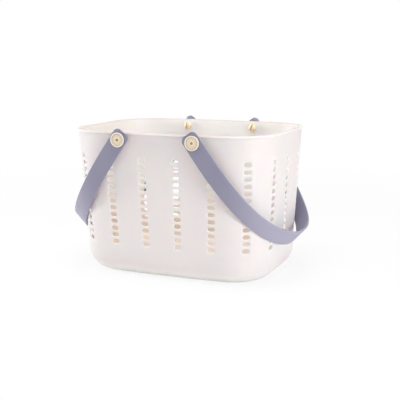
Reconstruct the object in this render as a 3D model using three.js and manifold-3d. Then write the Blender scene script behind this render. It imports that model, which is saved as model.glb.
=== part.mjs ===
// Bathroom basket with two swinging strap handles, in millimetres, +Z up.
// The origin is the middle of the flat base. +X runs along the long sides and -Y is the front.
import * as THREE from 'three';
import { mergeVertices } from 'three/addons/utils/BufferGeometryUtils.js';
import Module from 'manifold-3d';

const wasm = await Module();
wasm.setup();

// Shell of the basket
const rimLength = 300;
const rimWidth = 239;
const basketHeight = 205.6;
const wallThickness = 2.2;
const floorThickness = 2.6;
const endTaper = 7.2; // lean of each end wall over the whole height
const sideTaper = 18.5; // lean of each long wall over the whole height
const sideSwell = 2.5; // how far the middle of a long wall stands out past its corners
const rimCornerRadius = 64;
const baseCornerRadius = 62;
const baseEdgeRadius = 27.9;

// Lip around the rim
const lipOverhang = 2.1;
const lipDepth = 2.5;
const lipEdgeRound = 1;

// Perforations: columns of oblong holes
const slotWidth = 10.3;
const slotHeight = 5.9;
const slotCornerCut = 1.7;
const rowPitch = 9.78;
const rowCount = 13;
const lowestRowHeight = 50.3;
const sideColumnPitch = 50.1; // between columns of a long wall, at the rim
const sideColumnCount = 6;
const endColumnPitch = 56.4; // between columns of an end wall, at the rim
const endColumnCount = 3;
const columnNarrowingShare = 0.069; // part of the column pitch lost from rim to base
const narrowingGrowth = 1.5; // over 1, the columns draw together faster towards the base

// Snap pins, which are the handles' hinges
const pinSpacing = 108.4; // between the two handles' hinge lines
const pinDepth = 10; // hinge line below the top of the rim
const capDiameter = 20;
const capThickness = 2.3;
const capEdgeRound = 0.6;
const capRingWidth = 1.5;
const capGrooveWidth = 1.1;
const capGrooveDepth = 0.5;
const dimpleDiameter = 3.6;
const dimpleDepth = 0.9;
const shankDiameter = 8.6;
const barbDiameter = 12;
const barbLength = 6.6;
const barbTipDiameter = 7.2;
const barbEdgeHeight = 1.2;
const splitWidth = 2;
const bossDiameter = 16;
const bossPastLip = 1.2; // the boss face stands this far outside the lip

// Strap handles
const strapReach = 174.6; // from hinge line to middle of the grip
const strapWidth = 24.1;
const strapThickness = 2.8;
const strapRise = 7.7; // the strap curves edgeways by this much towards the grip
const gripFlare = 1.6; // extra width at the middle of the grip
const strapTail = 13.1; // strap past the hinge line
const strapCornerRadius = 6.6;
const strapEdgeChamfer = 0.6;
const strapSquareness = 2.24; // 2 bends the handle as an ellipse, more makes it squarer
const riseGrowth = 4.7;
const flareGrowth = 5;

// Clearances
const seatGap = 0.3; // between faces that touch
const hingeClearance = 0.35; // around a pin's shank
const cutOverrun = 5; // how far a cutting tool runs past what it cuts

// Facets
const cornerSteps = 5;
const sideSteps = 2;
const edgeSteps = 6;
const roundSteps = 20;
const strapSteps = 44;
const strapCornerSteps = 4;
const hangSteps = [5, 1, 0.1, 0.01, 0.001, 0.0001]; // degrees, for finding where a handle rests

function toSolid(geometry) {
  const bare = geometry.clone();
  bare.deleteAttribute('normal');
  bare.deleteAttribute('uv');
  const merged = mergeVertices(bare);
  return new wasm.Manifold(new wasm.Mesh({
    numProp: 3,
    vertProperties: merged.attributes.position.array,
    triVerts: Uint32Array.from(merged.index.array),
  }));
}

function toGeometry(solid) {
  const { vertProperties, triVerts } = solid.getMesh();
  const geometry = new THREE.BufferGeometry();
  geometry.setAttribute('position', new THREE.BufferAttribute(vertProperties, 3));
  geometry.setIndex(new THREE.BufferAttribute(triVerts, 1));
  geometry.computeVertexNormals();
  return geometry;
}

function addAll(solids) {
  return solids.reduce((sum, solid) => sum.add(solid));
}

// A skin over a stack of equal rings, closed by a fan of triangles on the first and the last.
function loft(rings) {
  const count = rings[0].length;
  const points = rings.flat();
  const faces = [];
  for (let ring = 0; ring < rings.length - 1; ring += 1) {
    for (let i = 0; i < count; i += 1) {
      const here = ring * count + i;
      const next = ring * count + (i + 1) % count;
      faces.push(here, next, next + count, here, next + count, here + count);
    }
  }
  const firstCentre = points.length;
  const lastRing = (rings.length - 1) * count;
  for (const ring of [rings[0], rings[rings.length - 1]]) {
    const centre = ring.reduce((sum, p) => sum.add(p), new THREE.Vector3()).divideScalar(count);
    points.push(centre);
  }
  for (let i = 0; i < count; i += 1) {
    const next = (i + 1) % count;
    faces.push(firstCentre, next, i, firstCentre + 1, lastRing + i, lastRing + next);
  }
  const geometry = new THREE.BufferGeometry().setFromPoints(points);
  geometry.setIndex(faces);
  return geometry;
}

// Outside of the shell's wall at a height: half length, half width and corner radius.
function wallAt(z) {
  const fall = 1 - z / basketHeight;
  return {
    halfLength: rimLength / 2 - lipOverhang - endTaper * fall,
    halfWidth: rimWidth / 2 - lipOverhang - sideTaper * fall,
    radius: THREE.MathUtils.lerp(rimCornerRadius, baseCornerRadius, fall),
  };
}

function baseInset(z) {
  const below = Math.max(baseEdgeRadius - z, 0);
  return baseEdgeRadius - Math.sqrt(baseEdgeRadius ** 2 - below ** 2);
}

// The long walls turn by the same angle at every height, so the facets between rings are flat.
const sideTurn = 2 * Math.atan(sideSwell / (rimLength / 2 - rimCornerRadius));

// A quarter of the level outline as two arcs that run into each other: a corner and half of a
// long wall. Angles are measured from +X.
function wallArcs(z, offset) {
  const wall = wallAt(z);
  const radius = wall.radius + offset;
  const length = wall.halfLength + offset - radius;
  const width = wall.halfWidth + offset - radius;
  const reach = length / Math.sin(sideTurn);
  const joint = Math.PI / 2 - sideTurn;
  return [
    {
      centre: new THREE.Vector2(length, width - length * Math.tan(sideTurn / 2)),
      radius,
      from: 0,
      to: joint,
      steps: cornerSteps,
    },
    {
      centre: new THREE.Vector2(0, width - reach),
      radius: radius + reach,
      from: joint,
      to: Math.PI / 2,
      steps: sideSteps,
    },
  ];
}

function onArc(arc, turn) {
  const outward = new THREE.Vector2(Math.cos(turn), Math.sin(turn));
  return outward.multiplyScalar(arc.radius).add(arc.centre);
}

// One level outline of the shell, drawn anticlockwise and moved outwards by offset.
function wallRing(z, offset) {
  const arcs = wallArcs(z, offset);
  const quarter = [onArc(arcs[0], 0)];
  for (const arc of arcs) {
    for (let i = 1; i <= arc.steps; i += 1) {
      quarter.push(onArc(arc, THREE.MathUtils.lerp(arc.from, arc.to, i / arc.steps)));
    }
  }
  const mirrored = quarter.slice(0, -1).reverse().map(({ x, y }) => new THREE.Vector2(-x, y));
  const half = [...quarter, ...mirrored];
  const otherHalf = half.map(({ x, y }) => new THREE.Vector2(-x, -y));
  return [...half, ...otherHalf].map(({ x, y }) => new THREE.Vector3(x, y, z));
}

// The round at the foot of the shell, from the level base up to the wall.
function footRings(offset, lift) {
  const radius = baseEdgeRadius + offset;
  const rings = [];
  for (let i = 0; i <= edgeSteps; i += 1) {
    const turn = (Math.PI / 2) * (i / edgeSteps);
    const inset = radius * (1 - Math.sin(turn));
    rings.push(wallRing(lift + radius * (1 - Math.cos(turn)), offset - inset));
  }
  return rings;
}

// The length of the wall from the middle of a long side to the middle of an end.
function quarterRun(z) {
  const [corner, side] = wallArcs(z, 0);
  return corner.centre.y + corner.radius * corner.to + side.radius * sideTurn;
}

// A point of the wall's outline, run being measured along the wall from the middle of a front
// or back wall, together with the outward direction there.
function wallPoint(run, z) {
  const [corner, side] = wallArcs(z, 0);
  const pastSide = Math.abs(run) - side.radius * sideTurn;
  const pastCorner = Math.max(pastSide - corner.radius * corner.to, 0);
  const turn = pastSide < 0 ? side.to - Math.abs(run) / side.radius
    : Math.max(corner.to - pastSide / corner.radius, 0);
  const { x, y } = onArc(pastSide < 0 ? side : corner, turn);
  const half = Math.sign(run);
  return {
    point: new THREE.Vector3(half * x, pastCorner - y, z),
    outward: new THREE.Vector3(half * Math.cos(turn), -Math.sin(turn), 0),
  };
}

// How far a point lies outside the shell, measured level.
function clearOfShell(point) {
  const z = THREE.MathUtils.clamp(point.z, 0, basketHeight);
  const offset = (z > basketHeight - lipDepth ? lipOverhang : 0) - baseInset(z);
  const [corner, side] = wallArcs(z, offset);
  const level = new THREE.Vector2(Math.abs(point.x), Math.abs(point.y));
  const fromCorner = level.clone().sub(corner.centre);
  if (fromCorner.y < 0) return fromCorner.x - corner.radius;
  if (fromCorner.angle() < corner.to) return fromCorner.length() - corner.radius;
  return level.sub(side.centre).length() - side.radius;
}

// Places that follow from the sizes above
const hingeHeight = basketHeight - pinDepth;
const hingeX = pinSpacing / 2;
const hingeWall = -wallPoint(hingeX, hingeHeight).point.y;
const bossFace = rimWidth / 2 + bossPastLip;
const strapHalfSpan = bossFace + seatGap + strapThickness / 2;
const capSeat = strapHalfSpan + strapThickness / 2 + seatGap;

// Basket shell
function outerShell() {
  const lipFoot = basketHeight - lipDepth;
  return toSolid(loft([
    ...footRings(0, 0),
    wallRing(lipFoot, 0),
    wallRing(lipFoot, lipOverhang - lipEdgeRound),
    wallRing(lipFoot + lipEdgeRound, lipOverhang),
    wallRing(basketHeight - lipEdgeRound, lipOverhang),
    wallRing(basketHeight, lipOverhang - lipEdgeRound),
  ]));
}

function cavity() {
  const flare = lipEdgeRound + cutOverrun;
  return toSolid(loft([
    ...footRings(-wallThickness, floorThickness),
    wallRing(basketHeight - lipEdgeRound, -wallThickness),
    wallRing(basketHeight + cutOverrun, flare - wallThickness),
  ]));
}

// A round bar along Y, from one side of the middle plane to a distance from it.
function yBar(diameter, from, to) {
  const bar = new THREE.CylinderGeometry(diameter / 2, diameter / 2, to - from, roundSteps);
  return bar.translate(0, (from + to) / 2, 0);
}

function atPins(makeBar) {
  const bars = [];
  for (const side of [-1, 1]) {
    for (const face of [-1, 1]) {
      const bar = makeBar();
      bar.rotateZ(face < 0 ? Math.PI : 0);
      bars.push(toSolid(bar.translate(side * hingeX, 0, hingeHeight)));
    }
  }
  return addAll(bars);
}

function slotTool() {
  const halfWidth = slotWidth / 2;
  const halfHeight = slotHeight / 2;
  const outline = new THREE.Shape([
    [halfWidth - slotCornerCut, -halfHeight],
    [halfWidth, slotCornerCut - halfHeight],
    [halfWidth, halfHeight - slotCornerCut],
    [halfWidth - slotCornerCut, halfHeight],
    [slotCornerCut - halfWidth, halfHeight],
    [-halfWidth, halfHeight - slotCornerCut],
    [-halfWidth, slotCornerCut - halfHeight],
    [slotCornerCut - halfWidth, -halfHeight],
  ].map(([x, y]) => new THREE.Vector2(x, y)));
  const depth = 2 * (wallThickness + cutOverrun);
  const tool = new THREE.ExtrudeGeometry(outline, { depth, bevelEnabled: false });
  return tool.translate(0, 0, -depth / 2);
}

// Column places along the wall, measured at the rim from the middle of a long side. Towards the
// base a column draws nearer to the middle of its own wall.
function columns() {
  const places = [];
  for (let i = 0; i < sideColumnCount; i += 1) {
    places.push({ wallMiddle: () => 0, away: (i - (sideColumnCount - 1) / 2) * sideColumnPitch });
  }
  for (let i = 0; i < endColumnCount; i += 1) {
    places.push({ wallMiddle: quarterRun, away: (i - (endColumnCount - 1) / 2) * endColumnPitch });
  }
  return places;
}

function perforations() {
  const tool = slotTool();
  const cuts = [];
  for (let row = 0; row < rowCount; row += 1) {
    const z = lowestRowHeight + row * rowPitch;
    const narrowing = 1 - columnNarrowingShare * (1 - z / basketHeight) ** narrowingGrowth;
    for (const { wallMiddle, away } of columns()) {
      const { point, outward } = wallPoint(wallMiddle(z) + away * narrowing, z);
      const heading = Math.atan2(outward.x, -outward.y);
      const slot = tool.clone().rotateX(Math.PI / 2).rotateZ(heading);
      slot.translate(point.x, point.y, point.z);
      cuts.push(toSolid(slot), toSolid(slot.clone().rotateZ(Math.PI)));
    }
  }
  return addAll(cuts);
}

function basketGeometry() {
  const inside = hingeWall - wallThickness - cutOverrun;
  const holeDiameter = shankDiameter + 2 * hingeClearance;
  const bosses = atPins(() => yBar(bossDiameter, inside, bossFace));
  const pinHoles = atPins(() => yBar(holeDiameter, inside, bossFace + cutOverrun));
  const shell = outerShell().add(bosses).subtract(cavity());
  return toGeometry(shell.subtract(pinHoles).subtract(perforations()));
}

// Snap pin: a ringed cap outside, a shank through strap and wall, and a split barb inside.
// It is turned about Y, with its cap towards +Y.
function pinGeometry() {
  const capTop = capSeat + capThickness;
  const capRadius = capDiameter / 2;
  const ringInner = capRadius - capRingWidth;
  const grooveFloor = capTop - capGrooveDepth;
  const grooveInner = ringInner - capGrooveWidth;
  const barbSeat = hingeWall - wallThickness - barbAllowance();
  const barbTip = barbSeat - barbLength;
  const profile = [
    [0, barbTip],
    [barbTipDiameter / 2, barbTip],
    [barbDiameter / 2, barbSeat - barbEdgeHeight],
    [barbDiameter / 2, barbSeat],
    [shankDiameter / 2, barbSeat],
    [shankDiameter / 2, capSeat],
    [capRadius, capSeat],
    [capRadius, capTop - capEdgeRound],
    [capRadius - capEdgeRound, capTop],
    [ringInner, capTop],
    [ringInner, grooveFloor],
    [grooveInner, grooveFloor],
    [grooveInner, capTop],
    [dimpleDiameter / 2, capTop],
    [0, capTop - dimpleDepth],
  ].map(([x, y]) => new THREE.Vector2(x, y));
  const turned = toSolid(new THREE.LatheGeometry(profile, roundSteps));
  const splitDepth = hingeWall - wallThickness - barbTip;
  const split = new THREE.BoxGeometry(splitWidth, splitDepth + cutOverrun, barbDiameter + cutOverrun);
  split.translate(0, barbTip + (splitDepth - cutOverrun) / 2, 0);
  return toGeometry(turned.subtract(toSolid(split)));
}

// The wall leans and bends across the barb, so the barb starts this far inside it.
function barbAllowance() {
  const lean = sideTaper / basketHeight;
  const bend = sideTurn * hingeX / (rimLength / 2 - rimCornerRadius);
  return seatGap + (lean + bend) * barbDiameter / 2;
}

// Middle line of a strap in its own plane: +X is the reach, Y the span, Z the edgeways rise.
// The turn goes from -90 degrees at the front hinge to 90 degrees at the back one. The strap is
// straight for as far past the hinge line as its tail stands behind it, and bends from there.
function strapMiddle(turn) {
  const power = 2 / strapSquareness;
  const bend = Math.max(Math.cos(turn), 0) ** power;
  const reach = THREE.MathUtils.lerp(strapTail, strapReach, bend);
  const span = strapHalfSpan * Math.sign(turn) * Math.abs(Math.sin(turn)) ** power;
  return new THREE.Vector3(reach, span, strapRise * (reach / strapReach) ** riseGrowth);
}

function strapStations() {
  const stations = [];
  const tail = [];
  for (let i = 0; i <= strapCornerSteps; i += 1) {
    const turn = (Math.PI / 2) * (i / strapCornerSteps);
    const drawnIn = strapCornerRadius * (1 - Math.sin(turn));
    const reach = strapCornerRadius * (1 - Math.cos(turn)) - strapTail;
    tail.push({ middle: new THREE.Vector3(reach, -strapHalfSpan, 0), drawnIn });
  }
  for (let i = 0; i <= strapSteps; i += 1) {
    const turn = Math.PI * (i / strapSteps - 1 / 2);
    stations.push({ middle: strapMiddle(turn), drawnIn: 0 });
  }
  const otherTail = tail.map(({ middle, drawnIn }) => ({
    middle: new THREE.Vector3(middle.x, -middle.y, middle.z),
    drawnIn,
  }));
  return [...tail, ...stations, ...otherTail.reverse()];
}

// The strap's width runs square to the curve of its edges, its thickness square to its face.
function strapFrame(stations, i) {
  const before = stations[Math.max(i - 1, 0)].middle;
  const after = stations[Math.min(i + 1, stations.length - 1)].middle;
  const along = after.clone().sub(before).normalize();
  const reach = Math.max(stations[i].middle.x, 0);
  const slope = riseGrowth * strapRise / strapReach * (reach / strapReach) ** (riseGrowth - 1);
  const across = new THREE.Vector3(-slope, 0, 1).normalize();
  const outward = across.clone().cross(along).normalize();
  return { across, outward };
}

function strapHalfWidth(station) {
  const share = Math.max(station.middle.x, 0) / strapReach;
  return (strapWidth + gripFlare * share ** flareGrowth) / 2 - station.drawnIn;
}

function strapSection(stations, i) {
  const { across, outward } = strapFrame(stations, i);
  const halfWidth = strapHalfWidth(stations[i]);
  const half = strapThickness / 2;
  const flat = half - strapEdgeChamfer;
  const straight = halfWidth - strapEdgeChamfer;
  const outline = [
    [half, -straight], [half, straight], [flat, halfWidth], [-flat, halfWidth],
    [-half, straight], [-half, -straight], [-flat, -halfWidth], [flat, -halfWidth],
  ];
  return outline.map(([thick, wide]) => stations[i].middle.clone()
    .addScaledVector(outward, thick)
    .addScaledVector(across, wide));
}

function strapGeometry() {
  const stations = strapStations();
  const band = toSolid(loft(stations.map((station, i) => strapSection(stations, i))));
  const reach = strapHalfSpan + cutOverrun;
  const bore = toSolid(yBar(shankDiameter + 2 * hingeClearance, -reach, reach));
  return toGeometry(band.subtract(bore));
}

// A handle hangs until its inner face comes to rest against the basket's corners. The angle is
// measured downwards from level, in steps that get finer.
function hangAngle() {
  const stations = strapStations();
  const skin = stations.flatMap((station, i) => strapSection(stations, i));
  const isClear = (degrees) => {
    const turned = new THREE.Matrix4().makeRotationY(THREE.MathUtils.degToRad(degrees));
    turned.setPosition(hingeX, 0, hingeHeight);
    return skin.every((p) => clearOfShell(p.clone().applyMatrix4(turned)) > seatGap);
  };
  let degrees = 0;
  for (const step of hangSteps) {
    while (degrees < 90 && isClear(degrees + step)) degrees += step;
  }
  return THREE.MathUtils.degToRad(degrees);
}

const shellPlastic = new THREE.MeshStandardMaterial({ color: 0xf1ece8, roughness: 0.45, metalness: 0 });
const strapPlastic = new THREE.MeshStandardMaterial({ color: 0x9896ab, roughness: 0.5, metalness: 0 });
const pinPlastic = new THREE.MeshStandardMaterial({ color: 0xe8d3a6, roughness: 0.4, metalness: 0 });

function named(name, geometry, material) {
  const mesh = new THREE.Mesh(geometry, material);
  mesh.name = name;
  return mesh;
}

const basket = new THREE.Group();
basket.add(named('basket_body', basketGeometry(), shellPlastic));

const strap = strapGeometry();
const hang = hangAngle();
const pin = pinGeometry();
for (const [sideName, side] of [['left', -1], ['right', 1]]) {
  const hinge = new THREE.Group();
  hinge.position.set(side * hingeX, 0, hingeHeight);
  const handle = named(`${sideName}_handle`, strap, strapPlastic);
  handle.rotation.y = hang;
  const facing = new THREE.Group();
  facing.rotation.z = side < 0 ? Math.PI : 0;
  facing.add(handle);
  hinge.add(facing);
  for (const [faceName, face] of [['front', -1], ['back', 1]]) {
    const snapPin = named(`${faceName}_${sideName}_pin`, pin, pinPlastic);
    snapPin.rotation.z = face < 0 ? Math.PI : 0;
    hinge.add(snapPin);
  }
  basket.add(hinge);
}

export default basket;
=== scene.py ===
# %% [markdown]
# A perforated bathroom basket with two strap handles.
#
# The real basket is one thin plastic moulding. Two lavender straps swing on four snap pins that
# are pushed through the wall. This lesson builds each of the seven pieces around a frame that
# was made before: the frame says where every piece is, and the lesson gives it its fine surface.

import math

import bpy
import numpy as np
from mathutils import Matrix, Vector


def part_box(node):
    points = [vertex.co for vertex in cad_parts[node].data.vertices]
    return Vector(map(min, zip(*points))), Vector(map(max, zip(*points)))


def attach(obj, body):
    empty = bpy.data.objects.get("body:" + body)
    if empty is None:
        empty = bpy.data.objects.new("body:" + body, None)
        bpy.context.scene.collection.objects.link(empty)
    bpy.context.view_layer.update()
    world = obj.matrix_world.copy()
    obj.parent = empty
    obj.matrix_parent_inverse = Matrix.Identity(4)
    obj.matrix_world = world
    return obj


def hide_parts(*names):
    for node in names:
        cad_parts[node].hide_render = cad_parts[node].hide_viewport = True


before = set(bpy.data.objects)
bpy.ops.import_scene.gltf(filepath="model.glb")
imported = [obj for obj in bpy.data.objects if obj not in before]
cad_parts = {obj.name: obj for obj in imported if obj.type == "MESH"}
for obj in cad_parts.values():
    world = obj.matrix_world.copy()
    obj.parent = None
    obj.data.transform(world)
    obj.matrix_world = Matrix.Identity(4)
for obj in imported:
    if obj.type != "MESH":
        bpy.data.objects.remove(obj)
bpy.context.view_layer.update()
print("frame nodes:", ", ".join(sorted(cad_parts)))

# %% [markdown]
# Sizes.
#
# Blender works in metres and a basket is easier to think of in millimetres, so one name turns
# the one into the other. A hair is far less than any real size here, and serves to tell whether
# two places are the same. The basket's length, width and height and the places of the pins,
# which are also the straps' hinges, come from the frame. The other sizes are the ones that a
# moulder would have on the drawing.

# %% Sizes of the shell
MM = 0.001
HAIR = 0.01 * MM
FULL_TURN = 2 * math.pi
QUARTER_TURN = math.pi / 2

shell_low, shell_high = (Vector(corner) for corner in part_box("basket_body"))
basket_height = shell_high.z
rim_length = shell_high.x - shell_low.x
boss_face = shell_high.y
boss_past_lip = 1.2 * MM
rim_width = 2 * (boss_face - boss_past_lip)
wall_thickness = 2.2 * MM
floor_thickness = 2.6 * MM
end_taper = 7.2 * MM
side_taper = 18.5 * MM
side_swell = 2.5 * MM
rim_corner_radius = 64 * MM
base_corner_radius = 62 * MM
foot_radius = 27.9 * MM
lip_overhang = 2.1 * MM
lip_depth = 2.5 * MM
lip_foot = basket_height - lip_depth
lip_lean = 0.5 * MM
lip_rounds = {"foot": 0.6 * MM, "outside": 1.1 * MM, "inside": 0.8 * MM}
bevel_steps = 3
print(f"rim {rim_length / MM:.1f} x {rim_width / MM:.1f} mm, height {basket_height / MM:.1f} mm")

# %% Sizes of the perforations
slot_width = 10.3 * MM
slot_height = 5.9 * MM
slot_corner_radius = 2.3 * MM
slot_margin = 2.45 * MM
row_pitch = 9.78 * MM
row_count = 13
lowest_row = 50.3 * MM
side_column_pitch = 50.1 * MM
side_columns_to_middle = 3
end_column_pitch = 56.4 * MM
column_narrowing_share = 0.069
narrowing_growth = 1.5

# %% [markdown]
# Working with operators.
#
# An operator acts on all that is selected. So each step first selects one object alone, then
# picks faces or edges of it by their place, and only then calls the operator. These few helpers
# do the picking.

# %% Helpers for selecting
def only(piece):
    """Selects one object alone and makes it the active one."""
    bpy.ops.object.select_all(action="DESELECT")
    piece.select_set(True)
    bpy.context.view_layer.objects.active = piece


def pick(piece, kind, test):
    """Opens a piece in edit mode with just those parts selected that pass the test."""
    only(piece)
    bpy.ops.object.mode_set(mode="EDIT")
    bpy.ops.mesh.select_mode(type=kind)
    bpy.ops.mesh.select_all(action="DESELECT")
    bpy.ops.object.mode_set(mode="OBJECT")
    parts = piece.data.edges if kind == "EDGE" else piece.data.polygons
    for part in parts:
        part.select = bool(test(part))
    bpy.ops.object.mode_set(mode="EDIT")


def pick_all(piece):
    """Opens a piece in edit mode with all of it selected."""
    only(piece)
    bpy.ops.object.mode_set(mode="EDIT")
    bpy.ops.mesh.select_all(action="SELECT")


def close_edit():
    bpy.ops.object.mode_set(mode="OBJECT")


def edge_ends(piece, edge):
    """The two end points of an edge."""
    return [piece.data.vertices[i].co for i in edge.vertices]


def near(value, target):
    return abs(value - target) < 2 * HAIR


def finish_with(piece, kind, **settings):
    """Adds a modifier, sets it up and applies it."""
    only(piece)
    modifier = piece.modifiers.new(kind.title(), kind)
    for name, value in settings.items():
        setattr(modifier, name, value)
    bpy.ops.object.modifier_apply(modifier=modifier.name)


def added(name):
    """Names the object that a primitive operator has just added."""
    piece = bpy.context.object
    piece.name = name
    piece.data.name = name
    return piece


def get_points(piece):
    """All points of a mesh as rows of x, y, z."""
    flat = np.empty(3 * len(piece.data.vertices))
    piece.data.vertices.foreach_get("co", flat)
    return flat.reshape(-1, 3)


def set_points(piece, points):
    piece.data.vertices.foreach_set("co", np.asarray(points).ravel())
    piece.data.update()


def report(piece):
    """Prints how many points and triangles a piece has."""
    triangles = sum(len(face.vertices) - 2 for face in piece.data.polygons)
    print(f"{piece.name}: {len(piece.data.vertices)} points, {triangles} triangles")


# %% [markdown]
# The shape of the wall.
#
# Seen from above, the basket is an oblong with round corners whose long sides swell a little. A
# quarter of that outline is two arcs, a corner and half of a long side, and a short straight
# end. The wall leans outwards from base to rim, so the arcs grow with the height. Everything
# else on the basket is placed by two numbers: how far it is along this outline, and how high.

# %% Outline of the wall
side_turn = 2 * math.atan(side_swell / (rim_length / 2 - rim_corner_radius))


def share_below_rim(height):
    """How far down the wall a height is, from 0 at the rim to 1 at the base.

    Rounding can put a height a trace above the rim, where a power of a share below 0 has no
    value, so the share stops at 0.
    """
    return max(1 - height / basket_height, 0)


def wall_arcs(height):
    """The arcs that make a quarter of the outline at a height."""
    fall = share_below_rim(height)
    radius = rim_corner_radius + (base_corner_radius - rim_corner_radius) * fall
    length = rim_length / 2 - lip_overhang - end_taper * fall - radius
    width = rim_width / 2 - lip_overhang - side_taper * fall - radius
    reach = length / math.sin(side_turn)
    corner_y = width - length * math.tan(side_turn / 2)
    side_run = (radius + reach) * side_turn
    corner_run = radius * (QUARTER_TURN - side_turn)
    return radius, length, width, reach, corner_y, side_run, corner_run


def quarter_run(height):
    """The length of the outline from the middle of a long side to the middle of an end."""
    *_, corner_y, side_run, corner_run = wall_arcs(height)
    return side_run + corner_run + corner_y


def wall_points(run, height, offset):
    """Points of the wall. A run is measured from the middle of the front, to the right."""
    radius, length, width, reach, corner_y, side_run, corner_run = wall_arcs(height)
    quarter = side_run + corner_run + corner_y
    at_back = np.abs(run) > quarter
    away = np.where(at_back, 2 * quarter - np.abs(run), np.abs(run))
    on_side = away < side_run
    past_corner = np.maximum(away - side_run - corner_run, 0)
    corner_turn = QUARTER_TURN - side_turn - (away - side_run) / radius
    turn = np.where(on_side, QUARTER_TURN - away / (radius + reach), np.maximum(corner_turn, 0))
    arc_radius = np.where(on_side, radius + reach, radius) + offset
    x = np.where(on_side, 0, length) + arc_radius * np.cos(turn)
    y = np.where(on_side, width - reach, corner_y) + arc_radius * np.sin(turn) - past_corner
    return np.stack([np.sign(run) * x, np.where(at_back, y, -y), height + 0 * x], axis=-1)


print(f"a quarter of the rim is {quarter_run(basket_height) / MM:.1f} mm long")

# %% [markdown]
# Where the columns of holes are.
#
# The columns draw together towards the base, but a hole stays as wide as it is. So the wall is
# thought of as a flat sheet with a narrow strip for each column. The strips keep their width
# all the way down, and only the plain wall between them gets narrower.

# %% Strips of the flat sheet
def column_middles(height):
    """Runs of the columns on the right half of the basket."""
    narrowing = 1 - column_narrowing_share * share_below_rim(height) ** narrowing_growth
    quarter = quarter_run(height)
    beside = [(i + 0.5) * side_column_pitch * narrowing for i in range(side_columns_to_middle)]
    across_end = [quarter + i * end_column_pitch * narrowing for i in (-1, 0, 1)]
    behind = [2 * quarter - run for run in reversed(beside)]
    return beside + across_end + behind


def strip_edges(height):
    """Runs of all strips' edges, from the back middle round the front to the back middle."""
    half_strip = slot_width / 2 + slot_margin
    right = [run + step for run in column_middles(height) for step in (-half_strip, half_strip)]
    end = 2 * quarter_run(height)
    return np.array([-end] + [-run for run in reversed(right)] + right + [end])


def sheet_lines_across():
    """The upright lines of the flat sheet, as runs at the rim."""
    largest_step = 10 * MM
    half_slot = slot_width / 2
    straight = half_slot - slot_corner_radius
    edges = strip_edges(basket_height)
    lines = [edges[0]]
    for i, edge in enumerate(edges[1:]):
        before = lines[-1]
        if i % 2:
            middle = (before + edge) / 2
            lines += [middle + step for step in (-half_slot, -straight, straight, half_slot)]
        else:
            steps = math.ceil((edge - before) / largest_step)
            lines += [before + (edge - before) * n / steps for n in range(1, steps)]
        lines.append(edge)
    return np.array(lines)


def sheet_lines_up():
    """The level lines of the flat sheet. Below the foot's radius they measure its arc."""
    foot_steps = 6
    steps_below_holes = 3
    steps_above_holes = 5
    half_slot = slot_height / 2
    straight = half_slot - slot_corner_radius
    foot = foot_radius - QUARTER_TURN * foot_radius * np.arange(foot_steps, 0, -1) / foot_steps
    rows = [lowest_row + row * row_pitch for row in range(row_count)]
    steps = (-half_slot, -straight, straight, half_slot)
    holes = [row + step for row in rows for step in steps]
    plain_below = np.linspace(foot_radius, holes[0], steps_below_holes + 1)[:-1]
    plain_above = np.linspace(holes[-1], lip_foot, steps_above_holes + 1)[1:]
    return np.concatenate([foot, plain_below, holes, plain_above, [basket_height]])


lines_across = sheet_lines_across()
lines_up = sheet_lines_up()
print(f"flat sheet: {len(lines_across)} upright lines, {len(lines_up)} level lines")

# %% [markdown]
# The shell, first flat.
#
# Holes are easy to cut in a flat sheet and hard to cut in a round one. So the wall starts as a
# grid that lies flat, with X along the wall, Y up the wall and Z out of it. The faces of each
# hole are deleted and the corners of the holes drawn in. Solidify then gives the sheet its
# thickness, an extrusion makes the lip, and bevels round the lip's edges.

# %% Grid with holes
bpy.ops.object.select_all(action="DESELECT")
cells_across = len(lines_across) - 1
cells_up = len(lines_up) - 1
bpy.ops.mesh.primitive_grid_add(x_subdivisions=cells_across, y_subdivisions=cells_up, size=2)
shell = added("basket_shell")

cell = (get_points(shell)[:, :2] + 1) / 2 * [cells_across, cells_up]
column, level = np.rint(cell).astype(int).T
set_points(shell, np.stack([lines_across[column], lines_up[level], 0 * column], axis=-1))

rim_columns = np.array(column_middles(basket_height))
rim_columns = np.concatenate([-rim_columns, rim_columns])
row_middles = lowest_row + row_pitch * np.arange(row_count)


def from_hole(point):
    """How far a point of the sheet lies from the middle of the nearest hole, along and up."""
    along = np.abs(rim_columns - point.x).min()
    up = np.abs(row_middles - point.y).min()
    return along, up


def in_hole(face):
    along, up = from_hole(face.center)
    return along < slot_width / 2 and up < slot_height / 2


pick(shell, "FACE", in_hole)
bpy.ops.mesh.delete(type="FACE")
close_edit()
report(shell)

# %% Round the corners of the holes
corner_draw = slot_corner_radius * (1 - math.sqrt(1 / 2))
points = get_points(shell)
along = rim_columns[np.abs(points[:, :1] - rim_columns).argmin(axis=1)] - points[:, 0]
up = row_middles[np.abs(points[:, 1:2] - row_middles).argmin(axis=1)] - points[:, 1]
at_corner = near(np.abs(along), slot_width / 2) & near(np.abs(up), slot_height / 2)
points[at_corner, 0] += np.sign(along[at_corner]) * corner_draw
points[at_corner, 1] += np.sign(up[at_corner]) * corner_draw
set_points(shell, points)
print(f"{at_corner.sum()} corners of {at_corner.sum() // 4} holes drawn in")

# %% Thickness and lip
finish_with(shell, "SOLIDIFY", thickness=wall_thickness, offset=-1)

pick(shell, "FACE", lambda face: face.normal.z > 0.5 and face.center.y > lip_foot)
bpy.ops.mesh.extrude_region_move(TRANSFORM_OT_translate={"value": (0, 0, lip_overhang)})
close_edit()

sheet_end = lines_across[-1]
sheet_foot = lines_up[0]


def at_sheet_end(face):
    return near(abs(face.center.x), sheet_end) or near(face.center.y, sheet_foot)


pick(shell, "FACE", at_sheet_end)
bpy.ops.mesh.delete(type="ONLY_FACE")
close_edit()


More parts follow.
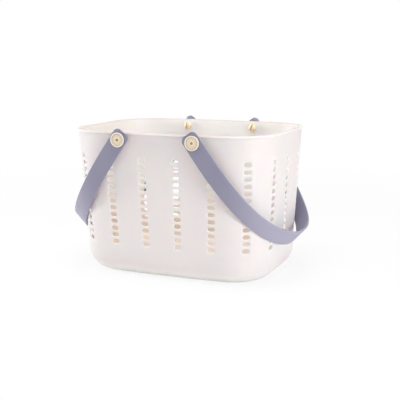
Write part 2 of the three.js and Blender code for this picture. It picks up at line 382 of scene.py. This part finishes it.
def pick_lip_edge(y, z):
    """Selects the lip's long edge at a place on the flat sheet."""
    def at_edge(edge):
        return all(near(end.y, y) and near(end.z, z) for end in edge_ends(shell, edge))

    pick(shell, "EDGE", at_edge)


pick_lip_edge(basket_height, lip_overhang)
bpy.ops.transform.translate(value=(0, 0, -lip_lean))
close_edit()

lip_edges = {
    "foot": (lip_foot, lip_overhang),
    "outside": (basket_height, lip_overhang - lip_lean),
    "inside": (basket_height, -wall_thickness),
}
for edge_name, (y, z) in lip_edges.items():
    pick_lip_edge(y, z)
    bpy.ops.mesh.bevel(offset=lip_rounds[edge_name], segments=bevel_steps)
    close_edit()
report(shell)

# %% [markdown]
# Bending the sheet.
#
# Each point of the flat sheet now goes to its place on the basket. Above the foot its height is
# the height of the wall. Below, the sheet rolls round the foot, and the inner skin rolls with a
# smaller radius over the thicker floor. Each point also stores how far inside it lies, from 0 on
# the outer skin to 1 on the inner one, because the painted light and shade in the plastic's
# colour follow that later.

# %% Bend the sheet into the basket
def bend_sheet(flat):
    """Places of the flat sheet's points on the basket."""
    level_digits = 7
    run, height, depth = flat.T
    rim_strips = strip_edges(basket_height)
    inside = np.clip(-depth / wall_thickness, 0, 1)
    turn = np.clip(QUARTER_TURN - (foot_radius - height) / foot_radius, 0, QUARTER_TURN)
    radius = foot_radius - wall_thickness * inside
    on_foot = height < foot_radius + HAIR
    foot_height = floor_thickness * inside + radius * (1 - np.cos(turn))
    true_height = np.where(on_foot, foot_height, height)
    offset = depth - np.where(on_foot, radius * (1 - np.sin(turn)), 0)
    bent = np.empty_like(flat)
    for level in np.unique(true_height.round(level_digits)):
        here = np.abs(true_height - level) < 10 ** -level_digits
        true_run = np.interp(run[here], rim_strips, strip_edges(level))
        bent[here] = wall_points(true_run, level, offset[here])
    return bent


flat = get_points(shell)
set_points(shell, bend_sheet(flat))
share_inside = shell.data.attributes.new("inside", "FLOAT", "POINT")
share_inside.data.foreach_set("value", np.clip(-flat[:, 2] / wall_thickness, 0, 1))

pick_all(shell)
bpy.ops.mesh.remove_doubles(threshold=HAIR)
close_edit()
report(shell)

# %% Smooth the sheet and close the base
finish_with(shell, "SUBSURF", levels=1, render_levels=1)
floor_support = 9 * MM
for floor_height in (0, floor_thickness):
    def at_floor(edge):
        return all(near(end.z, floor_height) for end in edge_ends(shell, edge))

    pick(shell, "EDGE", at_floor)
    bpy.ops.mesh.edge_face_add()
    bpy.ops.mesh.inset(thickness=floor_support)
    close_edit()

pick_all(shell)
bpy.ops.mesh.normals_make_consistent(inside=False)
close_edit()
report(shell)

# %% [markdown]
# Bosses for the pins.
#
# A round boss stands out of the wall around each pin, so the strap swings clear of the lip. The
# four bosses are beveled cylinders that a Boolean joins to the shell, and another Boolean bores
# the holes. A run along the wall isn't quite an x, so the run that meets the hinge line is found
# by one correction.

# %% Sizes of the pins
pin_names = {
    (side, face): f"{face_name}_{side_name}_pin"
    for side_name, side in (("left", -1), ("right", 1))
    for face_name, face in (("front", -1), ("back", 1))
}
pin_low, pin_high = (Vector(corner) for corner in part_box(pin_names[1, 1]))
hinge = (pin_low + pin_high) / 2
cap_radius = (pin_high.x - pin_low.x) / 2
cap_top = pin_high.y
barb_tip = pin_low.y
cap_thickness = 2.3 * MM
cap_seat = cap_top - cap_thickness
shank_radius = 4.3 * MM
hinge_clearance = 0.35 * MM
boss_radius = 8 * MM
boss_round = 0.5 * MM
round_steps = 48
rough_wall = wall_points(np.array([hinge.x]), hinge.z, 0)[0]
hinge_wall = -wall_points(np.array([2 * hinge.x - rough_wall[0]]), hinge.z, 0)[0][1]
print(f"hinge at x {hinge.x / MM:.2f}, z {hinge.z / MM:.2f} mm, wall at y {hinge_wall / MM:.2f} mm")


# %% Round bars through the wall
def pin_bars(name, radius, start, end, edge_round=0):
    """A round bar at each pin, from start to end away from the middle plane, in one object."""
    bars = []
    for side, face in pin_names:
        bpy.ops.object.select_all(action="DESELECT")
        bpy.ops.mesh.primitive_cylinder_add(
            vertices=round_steps, radius=radius, depth=end - start,
            location=(side * hinge.x, face * (start + end) / 2, hinge.z),
            rotation=(QUARTER_TURN, 0, 0))
        bar = added(name)
        bpy.ops.object.transform_apply()
        if edge_round:
            pick(bar, "FACE", lambda part: part.normal.y * face > 0.9)
            bpy.ops.mesh.bevel(offset=edge_round, segments=bevel_steps)
            close_edit()
        bars.append(bar)
    only(bars[0])
    for bar in bars:
        bar.select_set(True)
    bpy.ops.object.join()
    return bars[0]


def combine(piece, tool, operation):
    """Joins a tool to a piece or cuts it away, and drops the tool."""
    finish_with(piece, "BOOLEAN", object=tool, operation=operation, solver="MANIFOLD")
    bpy.data.objects.remove(tool)


inside_wall = hinge_wall - 0.6 * wall_thickness
bore_radius = shank_radius + hinge_clearance
combine(shell, pin_bars("boss_bars", boss_radius, inside_wall, boss_face, boss_round), "UNION")
combine(shell, pin_bars("bore_bars", bore_radius, barb_tip, cap_top), "DIFFERENCE")
only(shell)
bpy.ops.object.shade_smooth_by_angle(angle=math.radians(40))
report(shell)

# %% Shell takes its place
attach(shell, "basket")
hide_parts("basket_body")

# %% [markdown]
# The straps.
#
# A handle is one flat strap, bent round the end of the basket and pinned at both ends. Like the
# wall it is easiest to make flat: a long grid with round ends, given its thickness, with all
# its edges beveled. A formula then bends it into the handle's curve.

# %% Sizes of the straps
strap_reach = 174.6 * MM
strap_width = 24.1 * MM
strap_thickness = 2.8 * MM
strap_rise = 7.7 * MM
grip_flare = 1.6 * MM
strap_tail = 13.1 * MM
strap_corner_radius = 6.8 * MM
strap_edge_round = 0.8 * MM
strap_squareness = 2.24
rise_growth = 4.7
flare_growth = 5
seat_gap = 0.3 * MM
strap_half_span = boss_face + seat_gap + strap_thickness / 2
hang_angle = math.radians(54.392)


# %% Curve of a strap
def strap_middle(turn):
    """The strap's middle line from the front hinge, at minus a quarter turn, to the back."""
    power = 2 / strap_squareness
    bend = np.maximum(np.cos(turn), 0) ** power
    reach = strap_tail + (strap_reach - strap_tail) * bend
    span = strap_half_span * np.sign(turn) * np.abs(np.sin(turn)) ** power
    rise = strap_rise * (reach / strap_reach) ** rise_growth
    return np.stack([reach, span, rise], axis=-1)


def strap_path():
    """Close points along the whole strap, from tail to tail, and the length up to each."""
    curve_steps = 2400
    tail_steps = 40
    turns = QUARTER_TURN * np.sin(np.linspace(-QUARTER_TURN, QUARTER_TURN, curve_steps + 1))
    middle = strap_middle(turns)
    tail_reach = np.linspace(-strap_tail, strap_tail, tail_steps + 1)[:-1]
    tail = np.stack([tail_reach, 0 * tail_reach - strap_half_span, 0 * tail_reach], axis=-1)
    path = np.concatenate([tail, middle, tail[::-1] * [1, -1, 1]])
    steps = np.linalg.norm(np.diff(path, axis=0), axis=1)
    return path, np.concatenate([[0], np.cumsum(steps)])


path, path_length = strap_path()
strap_length = path_length[-1]
print(f"a strap is {strap_length / MM:.1f} mm long")


# %% Flat strap
def flat_strap(name):
    """A flat strap along X with round corners and beveled edges."""
    cells_along = 150
    corner_cells = 5
    half = strap_length / 2
    corner_turns = QUARTER_TURN * np.arange(corner_cells) / corner_cells
    corner_lines = half - strap_corner_radius * (1 - np.cos(corner_turns))
    between = np.linspace(-half + strap_corner_radius, half - strap_corner_radius, cells_along + 1)
    lines = np.concatenate([-corner_lines, between, corner_lines[::-1]])
    drawn_in = np.zeros(len(lines))
    drawn_in[:corner_cells] = strap_corner_radius * (1 - np.sin(corner_turns))
    drawn_in[-corner_cells:] = drawn_in[:corner_cells][::-1]

    width_shares = np.array([-1, -0.5, 0, 0.5, 1])
    cells = len(lines) - 1
    cells_wide = len(width_shares) - 1
    bpy.ops.object.select_all(action="DESELECT")
    bpy.ops.mesh.primitive_grid_add(x_subdivisions=cells, y_subdivisions=cells_wide, size=2)
    strap = added(name)
    cell = (get_points(strap)[:, :2] + 1) / 2 * [cells, cells_wide]
    station, lane = np.rint(cell).astype(int).T
    wide = (strap_width / 2 - drawn_in[station]) * width_shares[lane]
    set_points(strap, np.stack([lines[station], wide, 0 * wide], axis=-1))
    finish_with(strap, "SOLIDIFY", thickness=strap_thickness, offset=0)

    only(strap)
    bpy.ops.object.mode_set(mode="EDIT")
    bpy.ops.mesh.select_mode(type="EDGE")
    bpy.ops.mesh.select_all(action="DESELECT")
    bpy.ops.mesh.edges_select_sharp(sharpness=math.radians(50))
    bpy.ops.mesh.bevel(offset=strap_edge_round, segments=bevel_steps)
    close_edit()
    return strap


# %% Bend the strap
def bend_strap(flat):
    """Places of the flat strap's points on the handle, hinge line at the origin."""
    along = np.clip(flat[:, 0] + strap_length / 2, 0, strap_length)
    direction = np.gradient(path, path_length, axis=0)
    middle = np.stack([np.interp(along, path_length, axis) for axis in path.T], axis=-1)
    ahead = np.stack([np.interp(along, path_length, axis) for axis in direction.T], axis=-1)
    share = np.maximum(middle[:, 0], 0) / strap_reach
    slope = rise_growth * strap_rise / strap_reach * share ** (rise_growth - 1)
    across = np.stack([-slope, 0 * slope, 1 + 0 * slope], axis=-1)
    across /= np.linalg.norm(across, axis=1, keepdims=True)
    outward = np.cross(ahead, across)
    outward /= np.linalg.norm(outward, axis=1, keepdims=True)
    widen = 1 + grip_flare / strap_width * share ** flare_growth
    return middle + across * (flat[:, 1] * widen)[:, None] + outward * flat[:, 2:]


def make_handle(name, side):
    """One strap, hung on its hinge line at one side of the basket."""
    strap = flat_strap(name)
    flat = get_points(strap)
    set_points(strap, bend_strap(flat))
    share_outside = strap.data.attributes.new("outside", "FLOAT", "POINT")
    share_outside.data.foreach_set("value", flat[:, 2] / strap_thickness + 0.5)
    bpy.ops.mesh.primitive_cylinder_add(
        vertices=round_steps, radius=bore_radius, depth=4 * strap_half_span,
        rotation=(QUARTER_TURN, 0, 0))
    combine(strap, added("eye_bar"), "DIFFERENCE")
    hang = Matrix.Rotation(hang_angle, 4, "Y")
    facing = Matrix.Rotation(0 if side > 0 else math.pi, 4, "Z")
    place = Matrix.Translation((side * hinge.x, 0, hinge.z))
    strap.data.transform(place @ facing @ hang)
    only(strap)
    bpy.ops.object.shade_smooth_by_angle(angle=math.radians(40))
    report(strap)
    return strap


handles = []
for side_name, side in (("left", -1), ("right", 1)):
    handle = make_handle(f"{side_name}_strap", side)
    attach(handle, f"{side_name}_handle")
    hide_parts(f"{side_name}_handle")
    handles.append(handle)

# %% [markdown]
# The snap pins.
#
# A pin is turned: a cap with a raised ring and a dimple, a shank, and a barb that is split so it
# can squeeze through the wall. On a lathe one cuts a profile, so here one point is extruded
# along the profile and spun round the axis. A box then cuts the split. A pin can be pushed in
# at any angle, and the right one at the back sits a little askew.

# %% Profile of a pin
wall_lean = side_taper / basket_height
wall_bend = side_turn * hinge.x / (rim_length / 2 - rim_corner_radius)
barb_radius = 6 * MM
barb_seat = hinge_wall - wall_thickness - seat_gap - (wall_lean + wall_bend) * barb_radius
split_width = 2 * MM

pin_profile = [
    (0 * MM, barb_tip),
    (2.4 * MM, barb_tip),
    (3.6 * MM, barb_tip + 0.3 * MM),
    (4.8 * MM, barb_tip + 1.3 * MM),
    (barb_radius - 0.5 * MM, barb_tip + 2.6 * MM),
    (barb_radius - 0.1 * MM, barb_seat - 2 * MM),
    (barb_radius, barb_seat - 1.2 * MM),
    (barb_radius - 0.2 * MM, barb_seat - 0.2 * MM),
    (barb_radius - 0.6 * MM, barb_seat),
    (shank_radius, barb_seat),
    (shank_radius, cap_seat),
    (cap_radius - 0.3 * MM, cap_seat),
    (cap_radius, cap_seat + 0.3 * MM),
    (cap_radius, cap_top - 0.8 * MM),
    (cap_radius - 0.2 * MM, cap_top - 0.3 * MM),
    (cap_radius - 0.7 * MM, cap_top),
    (cap_radius - 1.2 * MM, cap_top),
    (cap_radius - 1.7 * MM, cap_top - 0.3 * MM),
    (cap_radius - 2 * MM, cap_top - 0.8 * MM),
    (cap_radius - 2.4 * MM, cap_top - 0.8 * MM),
    (cap_radius - 2.8 * MM, cap_top - 0.5 * MM),
    (3.9 * MM, cap_top - 0.4 * MM),
    (3.4 * MM, cap_top - 0.15 * MM),
    (2.7 * MM, cap_top),
    (2.1 * MM, cap_top - 0.1 * MM),
    (1.6 * MM, cap_top - 0.6 * MM),
    (0.9 * MM, cap_top - 1.2 * MM),
    (0 * MM, cap_top - 1.3 * MM),
]


# %% Spin and split a pin
def make_pin():
    """A pin about the Y axis with its cap towards +Y."""
    bpy.ops.object.select_all(action="DESELECT")
    bpy.ops.mesh.primitive_plane_add(size=1 * MM)
    pin = added("pin")
    bpy.ops.object.mode_set(mode="EDIT")
    bpy.ops.mesh.select_mode(type="VERT")
    bpy.ops.mesh.select_all(action="SELECT")
    bpy.ops.mesh.merge(type="CENTER")
    places = [Vector((across, along, 0)) for across, along in pin_profile]
    bpy.ops.transform.translate(value=places[0])
    for here, there in zip(places, places[1:]):
        bpy.ops.mesh.extrude_vertices_move(TRANSFORM_OT_translate={"value": there - here})
    bpy.ops.mesh.select_all(action="SELECT")
    bpy.ops.mesh.spin(steps=round_steps, angle=FULL_TURN, center=(0, 0, 0), axis=(0, 1, 0))
    bpy.ops.mesh.select_all(action="SELECT")
    bpy.ops.mesh.remove_doubles(threshold=HAIR)
    bpy.ops.mesh.normals_make_consistent(inside=False)
    close_edit()

    split_end = hinge_wall - wall_thickness
    bpy.ops.object.select_all(action="DESELECT")
    bpy.ops.mesh.primitive_cube_add(size=1, location=(0, split_end - barb_radius, 0))
    split = added("split")
    split.scale = (split_width, 2 * barb_radius, 4 * barb_radius)
    bpy.ops.object.transform_apply(location=True, rotation=True, scale=True)
    combine(pin, split, "DIFFERENCE")
    return pin


# %% Four pins
first_pin = make_pin()
rolls = {"back_right_pin": math.radians(15)}
pins = []
for (side, face), node in pin_names.items():
    mesh = first_pin.data.copy()
    turn = Matrix.Rotation(0 if face > 0 else math.pi, 4, "Z")
    roll = Matrix.Rotation(rolls.get(node, 0), 4, "Y")
    mesh.transform(Matrix.Translation((side * hinge.x, 0, hinge.z)) @ turn @ roll)
    pin = bpy.data.objects.new(f"snap_{node}", mesh)
    bpy.context.collection.objects.link(pin)
    only(pin)
    bpy.ops.object.shade_smooth_by_angle(angle=math.radians(35))
    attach(pin, "basket")
    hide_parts(node)
    pins.append(pin)
    report(pin)
bpy.data.objects.remove(first_pin)

# %% [markdown]
# A way to write materials.
#
# A material is a net of nodes, and a net is hard to read in a script. So a socket is wrapped in
# a small class that knows plus, minus, times and power, and a material is then written as sums.
# All other nodes come from one method.

# %% Sockets that can be reckoned with
class Wire:
    """An output socket that works like a number."""

    def __init__(self, finish, socket):
        self.finish = finish
        self.socket = socket

    def reckon(self, operation, *values):
        return self.finish.node("ShaderNodeMath", {"operation": operation}, dict(enumerate(values)))

    def __add__(self, other):
        return self.reckon("ADD", self, other)

    def __sub__(self, other):
        return self.reckon("SUBTRACT", self, other)

    def __rsub__(self, other):
        return self.reckon("SUBTRACT", other, self)

    def __mul__(self, other):
        return self.reckon("MULTIPLY", self, other)

    def __pow__(self, other):
        return self.reckon("POWER", self, other)

    def __abs__(self):
        return self.reckon("ABSOLUTE", self)

    __radd__ = __add__
    __rmul__ = __mul__


class Finish:
    """A material, or the world, whose nodes are added one by one."""

    def __init__(self, owner):
        self.owner = owner
        owner.use_nodes = True
        self.tree = owner.node_tree
        self.tree.nodes.clear()

    def node(self, kind, settings=None, sockets=None, output=0):
        """Adds a node, sets it up, and gives its sockets their values or links."""
        node = self.tree.nodes.new(kind)
        for name, value in (settings or {}).items():
            if name == "stops":
                self.set_stops(node.color_ramp, value)
            else:
                setattr(node, name, value)
        for name, value in (sockets or {}).items():
            if isinstance(value, Wire):
                self.tree.links.new(value.socket, node.inputs[name])
            else:
                node.inputs[name].default_value = value
        return Wire(self, node.outputs[output]) if node.outputs else None

    @staticmethod
    def set_stops(ramp, stops):
        """Sets a ramp's stops, of which it has two to start with."""
        for _ in stops[2:]:
            ramp.elements.new(1)
        for element, (place, colour) in zip(ramp.elements, stops):
            element.position = place
            element.color = colour

    def place(self):
        return self.node("ShaderNodeTexCoord", output="Object")

    def axis(self, name):
        """One of the three coordinates of a place on the piece."""
        return self.node("ShaderNodeSeparateXYZ", sockets={"Vector": self.place()}, output=name)

    def stored(self, name):
        """A number that was stored on the piece's points."""
        return self.node("ShaderNodeAttribute", {"attribute_name": name}, output="Fac")

    def step(self, value, start, end):
        """Goes smoothly from 0 to 1 while a value goes from start to end."""
        settings = {"interpolation_type": "SMOOTHSTEP"}
        sockets = {"Value": value, "From Min": start, "From Max": end}
        return self.node("ShaderNodeMapRange", settings, sockets)

    def from_pin(self):
        """How far a place is from the axis of the nearest pin."""
        across = abs(self.axis("X")) - hinge.x
        up = self.axis("Z") - hinge.z
        return (across * across + up * up) ** 0.5

    def noise(self, scale, detail=2, roughness=0.5):
        """Soft noise with so many patches to the metre."""
        sockets = {"Vector": self.place(), "Scale": scale, "Detail": detail, "Roughness": roughness}
        return self.node("ShaderNodeTexNoise", sockets=sockets)

    def ramp(self, value, stops):
        return self.node("ShaderNodeValToRGB", {"stops": stops}, {"Fac": value})

    def blend(self, share, first, second):
        """A colour between two others."""
        settings = {"data_type": "RGBA"}
        return self.node("ShaderNodeMix", settings, {0: share, 6: first, 7: second}, output=2)

    def bump(self, height, distance, strength=1.0):
        sockets = {"Height": height, "Distance": distance, "Strength": strength}
        return self.node("ShaderNodeBump", sockets=sockets)

    def cover(self, pieces, **surface):
        """Finishes the material with one shader and puts it on some pieces."""
        sockets = {name.replace("_", " "): value for name, value in surface.items()}
        self.dress(pieces, self.node("ShaderNodeBsdfPrincipled", sockets=sockets))

    def dress(self, pieces, shader):
        """Lets a shader be the material's surface and puts the material on some pieces."""
        self.node("ShaderNodeOutputMaterial", sockets={"Surface": shader})
        for piece in pieces:
            piece.data.materials.clear()
            piece.data.materials.append(self.owner)


# %% [markdown]
# Finishes.
#
# Moulded polypropylene has a satin surface with a very fine grain, and its tone wanders a little
# because it cools unevenly. So a wide noise varies tone and gloss, a middle one gives the soft
# waves of the moulding, and a fine one the grain. The shell is a bit translucent. Its tints are
# laid one over another and follow the height and the share that was stored on its points; the
# warmer inside is painted light and shade. The straps are painted paler on the outside of the
# grip, as if lit from the floor below. The caps' pale rings, darker grooves and dark dimple are
# painted highlights and painted shade, and the barbs and shanks are painted a warmer gold than
# the caps, painted warm light from inside the basket.
#
# Several tones aren't the plastic's own but stand in for light that the lamps here don't give.
# The foot, the upper inside and the edges of the holes are paler, as if lit by the floor and by
# light through the wall. The lower inside and the basket's floor are darker and warmer. The
# lip's flat top is toned down, because it would turn white under the lamp above. On the straps,
# the inner side of the ends is paler, and each cap has a dark ring of shade around it. Under
# other light these show as paint.

# %% Shell plastic
shell_finish = Finish(bpy.data.materials.new("satin_white_plastic"))
tone = shell_finish.noise(14, detail=3)
waves = shell_finish.noise(55, detail=1)
grain = shell_finish.noise(2600, detail=2)
inside = shell_finish.stored("inside")
height = shell_finish.axis("Z")
# Painted light and shade: the foot, the inside and the edges of the holes are painted paler, as if
# lit by the floor and by light through the wall, and deep inside and the basket's floor are painted
# darker and warmer, as shade.
near_ground = shell_finish.step(height, 22 * MM, 2 * MM)
deep_inside = inside * shell_finish.step(height, 120 * MM, 30 * MM)
on_floor = inside * shell_finish.step(height, 14 * MM, 5 * MM)
between_skins = 4 * inside * (1 - inside)
# Painted highlight and shade: the lip is painted paler than the wall, and the top of the rim
# darker, so that the lamp above doesn't turn it white.
on_lip = shell_finish.step(height, lip_foot - 0.2 * MM, lip_foot + 0.2 * MM)
on_rim = shell_finish.step(height, basket_height - 1.3 * MM, basket_height - 0.2 * MM)
painted_light_and_shade = [
    (near_ground, (0.95, 0.92, 0.915, 1)),
    (inside, (0.943, 0.897, 0.882, 1)),
    (deep_inside, (0.775, 0.69, 0.615, 1)),
    (on_floor, (0.68, 0.60, 0.53, 1)),
    (between_skins, (0.96, 0.95, 0.945, 1)),
    (on_lip, (0.885, 0.825, 0.81, 1)),
    (on_rim, (0.65, 0.61, 0.60, 1)),
]
shell_colour = shell_finish.blend(tone, (0.806, 0.763, 0.764, 1), (0.832, 0.794, 0.795, 1))
for share, tint in painted_light_and_shade:
    shell_colour = shell_finish.blend(share, shell_colour, tint)
shell_bump = shell_finish.bump(0.25 * waves + 0.012 * grain, 1 * MM)
shell_finish.cover(
    [shell], Base_Color=shell_colour, Roughness=0.4 + 0.1 * tone, Normal=shell_bump,
    Specular_IOR_Level=0.4, Subsurface_Weight=0.5, Subsurface_Radius=(1, 0.55, 0.35),
    Subsurface_Scale=5 * MM)

# %% Strap plastic
strap_finish = Finish(bpy.data.materials.new("satin_lavender_plastic"))
tone = strap_finish.noise(18, detail=3)
waves = strap_finish.noise(70, detail=1)
grain = strap_finish.noise(2400, detail=2)
strap_colour = strap_finish.blend(tone, (0.265, 0.254, 0.35, 1), (0.298, 0.287, 0.386, 1))
# Painted light: the outside of the grip faces down and is painted paler, as if the floor lit it.
to_grip = strap_finish.step(abs(strap_finish.axis("X")), 85 * MM, 150 * MM)
outside = strap_finish.stored("outside")
strap_colour = strap_finish.blend(to_grip * outside, strap_colour, (0.385, 0.37, 0.475, 1))
tail_inside = (1 - to_grip) * (1 - outside)
strap_colour = strap_finish.blend(0.5 * tail_inside, strap_colour, (0.42, 0.41, 0.54, 1))
beside_cap = strap_finish.step(strap_finish.from_pin(), cap_radius + 1.6 * MM, cap_radius)
strap_colour = strap_finish.blend(beside_cap * 0.5, strap_colour, (0.12, 0.11, 0.15, 1))
strap_bump = strap_finish.bump(0.2 * waves + 0.015 * grain, 1 * MM)
strap_finish.cover(
    handles, Base_Color=strap_colour, Roughness=0.42 + 0.12 * tone, Normal=strap_bump,
    Specular_IOR_Level=0.4)

# %% Pin plastic
pin_finish = Finish(bpy.data.materials.new("smooth_beige_plastic"))
tone = pin_finish.noise(160, detail=2)
grain = pin_finish.noise(2200, detail=2)
# Painted highlights and shade on the cap: a dark dimple, a pale ring round it, a dark groove and a
# bright outer ring, laid on the cap's cream.
from_middle = pin_finish.from_pin() * (1 / cap_radius)
cap_painted_shade_and_highlights = pin_finish.ramp(from_middle, [
    (0.08, (0.34, 0.27, 0.18, 1)),
    (0.18, (0.54, 0.43, 0.30, 1)),
    (0.26, (0.89, 0.80, 0.66, 1)),
    (0.42, (0.83, 0.72, 0.55, 1)),
    (0.71, (0.78, 0.66, 0.48, 1)),
    (0.78, (0.54, 0.43, 0.30, 1)),
    (0.86, (0.93, 0.85, 0.74, 1)),
    (1.00, (0.89, 0.80, 0.66, 1)),
])
on_cap = pin_finish.step(abs(pin_finish.axis("Y")), cap_seat - 0.5 * MM, cap_seat)
# Below the cap the pin is painted a warmer gold, painted warm light from inside the basket on the
# same plastic as the cap.
pin_colour = pin_finish.blend(on_cap, (0.97, 0.85, 0.60, 1), cap_painted_shade_and_highlights)
pin_colour = pin_finish.blend(0.12 * tone, pin_colour, (0.7, 0.55, 0.35, 1))
pin_bump = pin_finish.bump(0.02 * grain, 1 * MM)
pin_finish.cover(pins, Base_Color=pin_colour, Roughness=0.28 + 0.1 * tone, Normal=pin_bump)

# %% [markdown]
# Floor, light and camera.
#
# The basket stands on a plain white floor in a white room. Two small softboxes stand beside it,
# a little in front of its ends, so the straps throw soft shadows on the front. A larger one
# hangs above, and another lights the inside of the basket from high in front. To the camera the
# floor mostly glows, so it is as white as the room, and its lit part keeps the soft shadow.

# %% Floor
def grey(value):
    return (value, value, value, 1)


floor_width = 60
gap_under_basket = 0.1 * MM
bpy.ops.object.select_all(action="DESELECT")
bpy.ops.mesh.primitive_plane_add(size=floor_width, location=(0, 0, -gap_under_basket))
floor = added("floor")
bpy.ops.object.transform_apply()
floor_finish = Finish(bpy.data.materials.new("white_floor"))
seen = floor_finish.node("ShaderNodeLightPath", output="Is Camera Ray")
east, north = floor_finish.axis("X"), floor_finish.axis("Y")
far = floor_finish.step((east * east + north * north) ** 0.5, 0.3, 1.2)
lit = floor_finish.node("ShaderNodeBsdfDiffuse", sockets={"Color": grey(0.9)})
glow = floor_finish.node("ShaderNodeEmission", sockets={"Color": grey(1), "Strength": 1})
glow_share = 0.12 + seen * (0.74 + 0.14 * far)
mixed = floor_finish.node("ShaderNodeMixShader", sockets={0: glow_share, 1: lit, 2: glow})
floor_finish.dress([floor], mixed)

# %% World
world = bpy.data.worlds.new("white_room")
bpy.context.scene.world = world
room = Finish(world)
room_light = 0.3
seen = room.node("ShaderNodeLightPath", output="Is Camera Ray")
mirrored = room.node("ShaderNodeLightPath", output="Is Glossy Ray")
strength = room_light + (1 - room_light) * seen.reckon("MAXIMUM", seen, mirrored)
background = room.node("ShaderNodeBackground", sockets={"Color": grey(1), "Strength": strength})
room.node("ShaderNodeOutputWorld", sockets={"Surface": background})


# %% Softboxes
def softbox(name, place, target, size, power):
    light = bpy.data.lights.new(name, "AREA")
    light.shape = "RECTANGLE"
    light.size, light.size_y = size
    light.energy = power
    lamp = bpy.data.objects.new(name, light)
    lamp.location = place
    lamp.rotation_euler = (Vector(target) - Vector(place)).to_track_quat("-Z", "Y").to_euler()
    bpy.context.collection.objects.link(lamp)


basket_middle = (0, 0, basket_height / 2)
softbox("right_softbox", (1.41, -0.49, 0.35), basket_middle, (0.4, 0.4), 9)
softbox("left_softbox", (-1.4, -0.35, 0.5), basket_middle, (0.35, 0.35), 9.5)
softbox("top_softbox", (0.1, 0, 1.6), basket_middle, (1.0, 1.0), 13.5)
softbox("front_softbox", (0, -0.8, 1.4), basket_middle, (0.8, 0.8), 5.2)

# %% Camera
camera_data = bpy.data.cameras.new("camera")
camera_data.sensor_width = 36
camera_data.lens = 73.438
camera = bpy.data.objects.new("camera", camera_data)
camera.location = (0.468875, -1.083660, 0.313007)
tilt, pan = (math.radians(angle) for angle in (79.627, 22.799))
camera.rotation_euler = (tilt, 0, pan)
bpy.context.collection.objects.link(camera)
bpy.context.scene.camera = camera
bpy.context.scene.view_settings.view_transform = "Standard"
